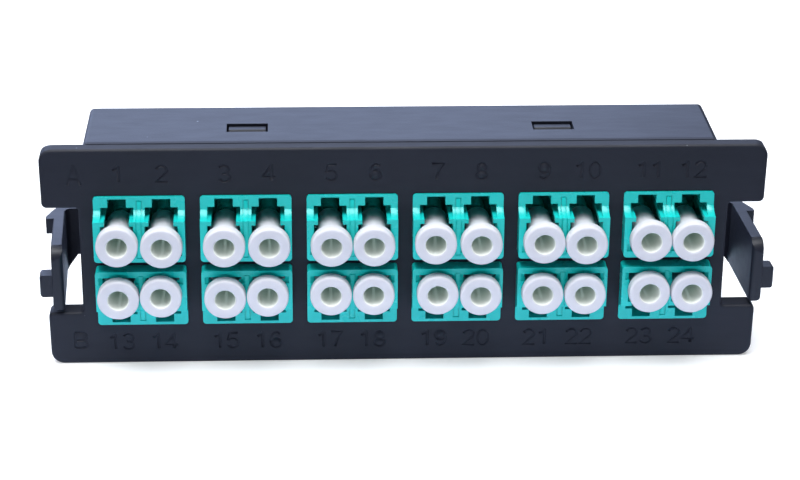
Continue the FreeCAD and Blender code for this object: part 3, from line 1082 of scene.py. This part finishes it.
@dataclass
class DustPlug:
    """A hollow plug: a round head, a stem with a rib on each side, a bore closed at its end.

    Attributes:
        crown: how far the head's face bulges between its two rounded edges.
        mouth_share: the share of the mouth's rounding that still has the outer finish.
        rib_start: where the ribs start behind the head's face.
        rib_reach: how far they reach from the axis.
        rim_faces: how many faces the rounding of the rim has, and so on for the others.
        sides: how many sides the round forms have.
    """

    skin: bpy.types.Material
    bore_skin: bpy.types.Material
    head_radius: float = 2.975 * MM
    head_depth: float = 1.75 * MM
    rim_round: float = 0.32 * MM
    rim_faces: int = 6
    crown: float = 0.012 * MM
    bore_radius: float = 1.45 * MM
    mouth_round: float = 0.32 * MM
    mouth_faces: int = 4
    mouth_share: float = 0.4
    stem_radius: float = 1.875 * MM
    neck_round: float = 0.25 * MM
    neck_faces: int = 3
    tip_round: float = 0.3 * MM
    end_wall: float = 0.8 * MM
    rib_start: float = 7.55 * MM
    rib_length: float = 2.0 * MM
    rib_thickness: float = 0.7 * MM
    rib_reach: float = 2.295 * MM
    rib_round: float = 0.15 * MM
    rib_faces: int = 3
    sides: int = 72

    def profile(self, length: float) -> list[tuple[float, float]]:
        """The outline that is turned round the axis, from the bore's end to the stem's tip.

        Args:
            length: the plug's whole length.

        Returns:
            Pairs of radius and distance behind the head's front face.
        """
        points = [(self.bore_radius, length - self.end_wall), (self.bore_radius, self.mouth_round)]
        for sine, cosine in quarter(1, self.mouth_faces):
            radius = self.bore_radius + self.mouth_round * (1 - cosine)
            points.append((radius, self.mouth_round * (1 - sine)))
        flat = self.head_radius - self.rim_round
        points.append(((self.bore_radius + self.mouth_round + flat) / 2, -self.crown))
        points.append((flat, 0.0))
        for sine, cosine in quarter(1, self.rim_faces):
            points.append((flat + self.rim_round * sine, self.rim_round * (1 - cosine)))
        back = self.head_depth
        points.append((self.head_radius, back - self.rim_round / 2))
        points.append((self.head_radius - self.rim_round / 6, back - self.rim_round / 6))
        points.append((self.head_radius - self.rim_round / 2, back))
        for sine, cosine in quarter(0, self.neck_faces):
            radius = self.stem_radius + self.neck_round * (1 - sine)
            points.append((radius, back + self.neck_round * (1 - cosine)))
        points.append((self.stem_radius, length - self.tip_round))
        points.append((self.stem_radius - self.tip_round * 0.3, length - self.tip_round * 0.3))
        points.append((self.stem_radius - self.tip_round, length))
        return points

    def turned(self, length: float) -> bpy.types.Object:
        """The plug's round body, extruded ring by ring along its axis.

        Args:
            length: the plug's whole length.

        Returns:
            The body, with its head's front face at y = 0 and its axis on Y.
        """
        outline = self.profile(length)
        radius, depth = outline[0]
        bpy.ops.object.select_all(action="DESELECT")
        bpy.ops.mesh.primitive_circle_add(
            vertices=self.sides, radius=radius, fill_type="NOTHING",
            location=(0, depth, 0), rotation=(math.pi / 2, 0, 0),
        )
        body = bpy.context.object
        bpy.ops.object.transform_apply(location=True, rotation=True, scale=True)
        bpy.ops.object.mode_set(mode="EDIT")
        bpy.ops.mesh.select_mode(type="EDGE")
        bpy.ops.mesh.select_all(action="SELECT")
        for after, behind in outline[1:]:
            ratio = after / radius
            move = (0, behind - depth, 0)
            bpy.ops.mesh.extrude_region_move(TRANSFORM_OT_translate={"value": move})
            bpy.ops.transform.resize(value=(ratio, 1, ratio), center_override=(0, behind, 0))
            radius, depth = after, behind
        bpy.ops.mesh.select_all(action="SELECT")
        bpy.ops.mesh.fill_holes(sides=0)
        bpy.ops.mesh.remove_doubles(threshold=MERGE_DISTANCE)
        bpy.ops.mesh.select_all(action="SELECT")
        bpy.ops.mesh.normals_make_consistent(inside=False)
        bpy.ops.object.mode_set(mode="OBJECT")
        return body

    def rib(self) -> bpy.types.Object:
        """The bar whose two ends stand out of the stem as ribs.

        Returns:
            The bar, with its corners rounded.
        """
        bpy.ops.object.select_all(action="DESELECT")
        centre = self.rib_start + self.rib_length / 2
        bpy.ops.mesh.primitive_cube_add(size=1, location=(0, centre, 0))
        bar = bpy.context.object
        bar.scale = (2 * self.rib_reach, self.rib_length, self.rib_thickness)
        bpy.ops.object.transform_apply(location=True, rotation=True, scale=True)
        soften(bar, self.rib_round, self.rib_faces)
        return bar

    def in_bore(self, point: Vector, length: float) -> bool:
        """Whether a point of the surface is on the bore's wall, behind its rounded mouth.

        Args:
            point: the point.
            length: the plug's whole length.

        Returns:
            Whether it is.
        """
        inside = math.hypot(point.x, point.z) < (self.bore_radius + self.stem_radius) / 2
        start = self.mouth_round * self.mouth_share
        return inside and start < point.y < length - self.end_wall / 2

    def build(self, length: float) -> bpy.types.Object:
        """One finished plug at the origin.

        Args:
            length: the plug's whole length.

        Returns:
            The plug, with its head's front face at y = 0.
        """
        body = self.turned(length)
        combine(body, self.rib(), Joining.FUSE)
        # The bore's faces take the bore finish, whose colour and glow are painted light.
        paint(body, self.skin, self.bore_skin)
        for face in body.data.polygons:
            face.material_index = int(self.in_bore(face.center, length))
        smooth(body)
        return body


@dataclass
class PlugBoard:
    """The 24 dust plugs, each a little askew in its port as it was pushed in.

    Attributes:
        pivot: how far behind the head's face a plug tilts about.
        head_room: how far a tilted plug is drawn back, as a share of what its rim tips forward.
        askew: how far each head sits to the right and down of its port's middle, in
            millimetres.
    """

    model: DustPlug
    pivot: float = 8.5 * MM
    head_room: float = 0.8
    count: int = 24
    askew: tuple[tuple[float, float], ...] = (
        (0.06, -0.1), (0.1, 0.15), (0.04, 0.12), (0.2, 0.18), (0.12, 0.25), (-0.08, 0.25),
        (-0.25, 0.0), (0.04, 0.1), (0.12, 0.0), (-0.08, 0.3), (0.25, -0.1), (0.0, -0.1),
        (-0.03, 0.08), (-0.25, -0.15), (0.03, 0.14), (-0.16, -0.1), (0.0, -0.22), (-0.15, -0.18),
        (0.15, -0.14), (0.08, 0.06), (0.06, 0.0), (-0.05, 0.12), (0.4, -0.08), (0.24, 0.0),
    )

    def place(self, number: int, front: float) -> Matrix:
        """Where one plug goes.

        Args:
            number: the plug's number, from 1.
            front: where the head's front face goes.

        Returns:
            The move from the origin.
        """
        centre = middle("dust_plug_%02d" % number)
        about_z, about_x = (shift * MM / self.pivot for shift in self.askew[number - 1])
        turn_z = Matrix.Rotation(about_z, 4, "Z")
        turn_x = Matrix.Rotation(about_x, 4, "X")
        pivot = Matrix.Translation((0, self.pivot, 0))
        back = (abs(about_z) + abs(about_x)) * self.model.head_radius * self.head_room
        to_port = Matrix.Translation((centre.x, front + back, centre.z))
        return to_port @ pivot @ turn_z @ turn_x @ pivot.inverted()

    def build(self) -> None:
        """Models one plug and copies it into every port."""
        low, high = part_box("dust_plug_01")
        length = high.y - low.y
        model = self.model.build(length)
        for number in range(1, self.count + 1):
            node = "dust_plug_%02d" % number
            piece = clone(model, "port_plug_%02d" % number, self.place(number, low.y))
            settle(piece, "plug_%02d" % number, Slot.WHITE, node)
        bpy.data.objects.remove(model)


# ---------------------------------------------------------------- studio


@dataclass(frozen=True)
class Lamp:
    """A square soft lamp.

    Attributes:
        name: the lamp's name.
        place: where it stands.
        side: the length of its side.
        power: its power in watts.
        colour: its colour.
        mirrored: whether glossy surfaces show it.
    """

    name: str
    place: Triple
    side: float
    power: float
    colour: Colour
    mirrored: bool = True

    def build(self, target: Vector) -> None:
        """Sets the lamp up.

        Args:
            target: the point that it faces.
        """
        data = bpy.data.lights.new(self.name, "AREA")
        data.shape = "SQUARE"
        data.size = self.side
        data.energy = self.power
        data.color = self.colour
        lamp = bpy.data.objects.new(self.name, data)
        bpy.context.scene.collection.objects.link(lamp)
        lamp.location = self.place
        aim = target - Vector(self.place)
        lamp.rotation_euler = aim.to_track_quat("-Z", "Y").to_euler()
        lamp.visible_glossy = self.mirrored


@dataclass
class Studio:
    """Floor, light and camera.

    Attributes:
        sky: the strength of the world's light on the cassette.
        target: the point that the lamps face.
        eye: where the camera stands.
        turn_deg: the camera's turn about X, Y and Z, in degrees.
    """

    floor_half: float = 3.0
    sky: float = 0.05
    target: Triple = (0.0, 0.0, 0.015)
    lens: float = 103.5
    sensor: float = 36.0
    nearest: float = 0.01
    furthest: float = 20.0
    eye: Triple = (-0.01550, -0.30562, 0.15177)
    turn_deg: Triple = (66.379, -0.5039, -2.5796)
    lamps: tuple[Lamp, ...] = (
        Lamp("lamp_top", (-0.12, -0.14, 1.15), 1.0, 25.0, (0.93, 0.96, 1.0)),
        Lamp("lamp_rear", (-0.22, 1.10, 0.50), 1.1, 11.0, (0.54, 0.66, 1.0)),
        Lamp("lamp_front", (-0.10, -1.50, 0.04), 0.25, 10.0, (0.90, 0.94, 1.0), mirrored=False),
    )

    def floor(self) -> None:
        """A plain white floor under the cassette."""
        bpy.ops.object.select_all(action="DESELECT")
        bpy.ops.mesh.primitive_plane_add(size=2 * self.floor_half)
        ground = bpy.context.object
        ground.name = "floor"
        ground.data.materials.append(StudioFloor().build())

    def world(self) -> None:
        """A white world to the camera, and a softer one to the cassette."""
        world = bpy.data.worlds.new("studio")
        bpy.context.scene.world = world
        world.use_nodes = True
        tree = world.node_tree
        tree.nodes.clear()
        out = tree.nodes.new("ShaderNodeOutputWorld")
        back = tree.nodes.new("ShaderNodeBackground")
        path = tree.nodes.new("ShaderNodeLightPath")
        level = tree.nodes.new("ShaderNodeMapRange")
        level.inputs["To Min"].default_value = self.sky
        level.inputs["To Max"].default_value = 1.0
        tree.links.new(path.outputs["Is Camera Ray"], level.inputs["Value"])
        tree.links.new(level.outputs["Result"], back.inputs["Strength"])
        back.inputs["Color"].default_value = (*WHITE, 1.0)
        tree.links.new(back.outputs["Background"], out.inputs["Surface"])

    def camera(self) -> None:
        """The camera, a little above the cassette and turned a little to the right."""
        data = bpy.data.cameras.new("camera")
        data.lens = self.lens
        data.sensor_width = self.sensor
        data.clip_start = self.nearest
        data.clip_end = self.furthest
        camera = bpy.data.objects.new("camera", data)
        bpy.context.scene.collection.objects.link(camera)
        camera.location = self.eye
        camera.rotation_euler = [math.radians(angle) for angle in self.turn_deg]
        bpy.context.scene.camera = camera

    def build(self) -> None:
        """Sets up everything round the cassette."""
        self.floor()
        self.world()
        for lamp in self.lamps:
            lamp.build(Vector(self.target))
        self.camera()
        bpy.context.scene.view_settings.view_transform = "Standard"


def main() -> None:
    """Builds and dresses the whole cassette, then its studio."""
    finishes = Finishes.build()
    FrontFrame(finishes.plate, Numerals()).build()
    Retainer(finishes.black).build()
    bank = AdapterBank(finishes.teal, finishes.ceramic)
    bank.build()
    bank.dress_sleeves()
    for side in Side:
        SideLatch(side, finishes.black).build()
    PlugBoard(DustPlug(finishes.white, finishes.bore)).build()
    Studio().build()


if __name__ == "__main__":
    main()
